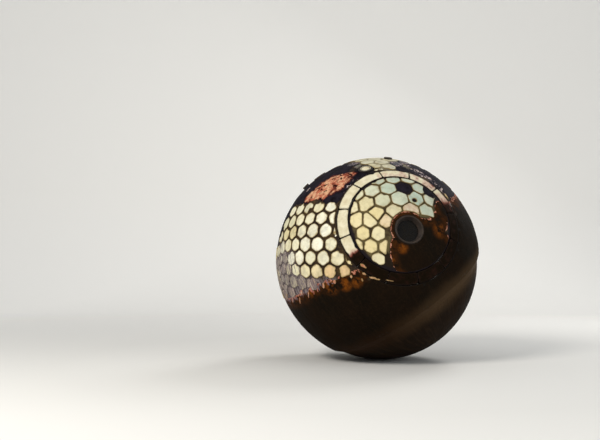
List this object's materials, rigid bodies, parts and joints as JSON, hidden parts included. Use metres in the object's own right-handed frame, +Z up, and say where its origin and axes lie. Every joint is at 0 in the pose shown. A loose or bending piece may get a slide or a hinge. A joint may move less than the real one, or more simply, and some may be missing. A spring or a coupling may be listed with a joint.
{
  "type": "spherical descent capsule",
  "caption": "Landed ball-shaped descent capsule with a charred heat shield, honeycomb tiles, a closed service hatch with a porthole, and open entry and recovery hatches.",
  "frame": {"origin": "on the ground under the middle of the capsule's box, as it rests", "axes": "+Z up, +X to the right and -Y towards the viewer of the service hatch side"},
  "size_m": [2.2807, 2.2958, 2.281],
  "materials": {
    "char": "matt charred",
    "cap": "matt worn char",
    "hull": "satin",
    "frame_metal": "machined",
    "tile": "matt",
    "ring": "matt",
    "plug": "matt charred",
    "steel": "satin",
    "pane": "clear",
    "panel_paint": "painted grey",
    "globe": "gloss",
    "dial": "gloss black",
    "grip": "matt black",
    "bottle": "satin",
    "equipment": "painted grey"
  },
  "bodies": {
    "capsule": {"shield_front": "cap", "shield_rear": "char", "pressure_hull": "hull", "service_hatch_frame": "frame_metal", "entry_hatch_frame": "frame_metal", "recovery_hatch_frame": "frame_metal", "recovery_container": "hull", "riser_lugs": "steel", "tiles_crown": "tile", "tiles_flank": "tile", "equipment_bay": "equipment", "vent_valve": "steel", "crown_fitting": "steel", "side_fitting": "steel", "pole_lock": "steel", "side_porthole_frame": "frame_metal", "side_porthole_bezel": "steel", "side_porthole_glass": "pane", "umbilical_plate": "frame_metal", "bay_feet": "frame_metal", "seat_rails": "frame_metal", "instrument_panel": "panel_paint", "panel_globe": "globe", "panel_dials": "dial", "side_console": "panel_paint", "hand_controller": "grip", "air_bottles": "bottle"},
    "service_hatch": {"service_lid": "frame_metal", "service_plug": "plug", "service_ring": "ring", "service_tiles": "tile", "porthole_bezel": "steel", "porthole_glass": "pane"}
  },
  "joints": [
    {"name": "service_hatch_lift", "type": "slide", "parent": "capsule", "child": "service_hatch", "axis": [0.1506, -0.9245, 0.3501], "range_m": [0, 0.6]}
  ]
}
